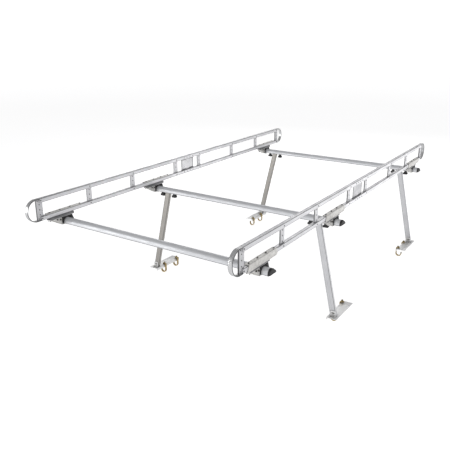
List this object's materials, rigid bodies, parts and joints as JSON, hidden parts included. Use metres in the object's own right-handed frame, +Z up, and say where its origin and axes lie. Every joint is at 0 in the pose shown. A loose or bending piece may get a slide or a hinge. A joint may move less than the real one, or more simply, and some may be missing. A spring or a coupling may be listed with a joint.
{
  "type": "ladder rack",
  "caption": "Over-cab pickup ladder rack: long looped side rails on aerofoil crossbars, splayed legs, and flat feet clamped to the bed rails.",
  "frame": {"origin": "on the ground plane below the middle of the rack, at the bottom centre of its bounding box", "axes": "+X to the truck's right side, +Y along the side rails to the tailgate, +Z up"},
  "size_m": [1.864, 3.66, 1.061],
  "materials": {
    "aluminium": "satin mill and brushed extrusion",
    "panel": "matt slotted sheet",
    "bracket": "matt cast and bent plate",
    "zinc": "yellow zinc plate",
    "black_plastic": "moulded black plastic",
    "rubber": "black rubber"
  },
  "bodies": {
    "rack": {"side_rail_left": "aluminium", "centre_panel_left": "panel", "side_rail_right": "aluminium", "centre_panel_right": "panel", "crossbar_front": "aluminium", "end_cap_front_left": "black_plastic", "rail_bracket_front_left": "bracket", "saddle_liner_front_left": "rubber", "end_cap_front_right": "black_plastic", "rail_bracket_front_right": "bracket", "saddle_liner_front_right": "rubber", "crossbar_middle": "aluminium", "end_cap_middle_left": "black_plastic", "rail_bracket_middle_left": "bracket", "saddle_liner_middle_left": "rubber", "end_cap_middle_right": "black_plastic", "rail_bracket_middle_right": "bracket", "saddle_liner_middle_right": "rubber", "crossbar_rear": "aluminium", "end_cap_rear_left": "black_plastic", "rail_bracket_rear_left": "bracket", "saddle_liner_rear_left": "rubber", "end_cap_rear_right": "black_plastic", "rail_bracket_rear_right": "bracket", "saddle_liner_rear_right": "rubber"},
    "leg_middle_left": {"leg_middle_left": "aluminium", "foot_plate_middle_left": "aluminium", "clamp_body_middle_left_1": "zinc", "clamp_body_middle_left_2": "zinc"},
    "clamp_screw_middle_left_1": {"clamp_screw_middle_left_1": "zinc"},
    "clamp_screw_middle_left_2": {"clamp_screw_middle_left_2": "zinc"},
    "tie_cleat_middle_left_inner": {"tie_cleat_middle_left_inner": "black_plastic"},
    "tie_cleat_middle_left_outer": {"tie_cleat_middle_left_outer": "black_plastic"},
    "leg_middle_right": {"leg_middle_right": "aluminium", "foot_plate_middle_right": "aluminium", "clamp_body_middle_right_1": "zinc", "clamp_body_middle_right_2": "zinc"},
    "clamp_screw_middle_right_1": {"clamp_screw_middle_right_1": "zinc"},
    "clamp_screw_middle_right_2": {"clamp_screw_middle_right_2": "zinc"},
    "tie_cleat_middle_right_inner": {"tie_cleat_middle_right_inner": "black_plastic"},
    "tie_cleat_middle_right_outer": {"tie_cleat_middle_right_outer": "black_plastic"},
    "leg_rear_left": {"leg_rear_left": "aluminium", "foot_plate_rear_left": "aluminium", "clamp_body_rear_left_1": "zinc", "clamp_body_rear_left_2": "zinc"},
    "clamp_screw_rear_left_1": {"clamp_screw_rear_left_1": "zinc"},
    "clamp_screw_rear_left_2": {"clamp_screw_rear_left_2": "zinc"},
    "tie_cleat_rear_left_inner": {"tie_cleat_rear_left_inner": "black_plastic"},
    "tie_cleat_rear_left_outer": {"tie_cleat_rear_left_outer": "black_plastic"},
    "leg_rear_right": {"leg_rear_right": "aluminium", "foot_plate_rear_right": "aluminium", "clamp_body_rear_right_1": "zinc", "clamp_body_rear_right_2": "zinc"},
    "clamp_screw_rear_right_1": {"clamp_screw_rear_right_1": "zinc"},
    "clamp_screw_rear_right_2": {"clamp_screw_rear_right_2": "zinc"},
    "tie_cleat_rear_right_inner": {"tie_cleat_rear_right_inner": "black_plastic"},
    "tie_cleat_rear_right_outer": {"tie_cleat_rear_right_outer": "black_plastic"}
  },
  "joints": [
    {"name": "leg_slide_middle_left", "type": "slide", "parent": "rack", "child": "leg_middle_left", "axis": [1, 0, 0], "range_m": [-0.006, 0.012]},
    {"name": "clamp_open_middle_left_1", "type": "slide", "parent": "leg_middle_left", "child": "clamp_screw_middle_left_1", "axis": [0, 0, 1], "range_m": [0, 0.008]},
    {"name": "clamp_open_middle_left_2", "type": "slide", "parent": "leg_middle_left", "child": "clamp_screw_middle_left_2", "axis": [0, 0, 1], "range_m": [0, 0.008]},
    {"name": "cleat_slide_middle_left_inner", "type": "slide", "parent": "rack", "child": "tie_cleat_middle_left_inner", "axis": [1, 0, 0], "range_m": [0, 0.5]},
    {"name": "cleat_slide_middle_left_outer", "type": "slide", "parent": "rack", "child": "tie_cleat_middle_left_outer", "axis": [-1, 0, 0], "range_m": [0, 0.015]},
    {"name": "leg_slide_middle_right", "type": "slide", "parent": "rack", "child": "leg_middle_right", "axis": [1, 0, 0], "range_m": [-0.012, 0.006]},
    {"name": "clamp_open_middle_right_1", "type": "slide", "parent": "leg_middle_right", "child": "clamp_screw_middle_right_1", "axis": [0, 0, 1], "range_m": [0, 0.008]},
    {"name": "clamp_open_middle_right_2", "type": "slide", "parent": "leg_middle_right", "child": "clamp_screw_middle_right_2", "axis": [0, 0, 1], "range_m": [0, 0.008]},
    {"name": "cleat_slide_middle_right_inner", "type": "slide", "parent": "rack", "child": "tie_cleat_middle_right_inner", "axis": [-1, 0, 0], "range_m": [0, 0.5]},
    {"name": "cleat_slide_middle_right_outer", "type": "slide", "parent": "rack", "child": "tie_cleat_middle_right_outer", "axis": [1, 0, 0], "range_m": [0, 0.015]},
    {"name": "leg_slide_rear_left", "type": "slide", "parent": "rack", "child": "leg_rear_left", "axis": [1, 0, 0], "range_m": [-0.006, 0.012]},
    {"name": "clamp_open_rear_left_1", "type": "slide", "parent": "leg_rear_left", "child": "clamp_screw_rear_left_1", "axis": [0, 0, 1], "range_m": [0, 0.008]},
    {"name": "clamp_open_rear_left_2", "type": "slide", "parent": "leg_rear_left", "child": "clamp_screw_rear_left_2", "axis": [0, 0, 1], "range_m": [0, 0.008]},
    {"name": "cleat_slide_rear_left_inner", "type": "slide", "parent": "rack", "child": "tie_cleat_rear_left_inner", "axis": [1, 0, 0], "range_m": [0, 0.5]},
    {"name": "cleat_slide_rear_left_outer", "type": "slide", "parent": "rack", "child": "tie_cleat_rear_left_outer", "axis": [-1, 0, 0], "range_m": [0, 0.015]},
    {"name": "leg_slide_rear_right", "type": "slide", "parent": "rack", "child": "leg_rear_right", "axis": [1, 0, 0], "range_m": [-0.012, 0.006]},
    {"name": "clamp_open_rear_right_1", "type": "slide", "parent": "leg_rear_right", "child": "clamp_screw_rear_right_1", "axis": [0, 0, 1], "range_m": [0, 0.008]},
    {"name": "clamp_open_rear_right_2", "type": "slide", "parent": "leg_rear_right", "child": "clamp_screw_rear_right_2", "axis": [0, 0, 1], "range_m": [0, 0.008]},
    {"name": "cleat_slide_rear_right_inner", "type": "slide", "parent": "rack", "child": "tie_cleat_rear_right_inner", "axis": [-1, 0, 0], "range_m": [0, 0.5]},
    {"name": "cleat_slide_rear_right_outer", "type": "slide", "parent": "rack", "child": "tie_cleat_rear_right_outer", "axis": [1, 0, 0], "range_m": [0, 0.015]}
  ]
}
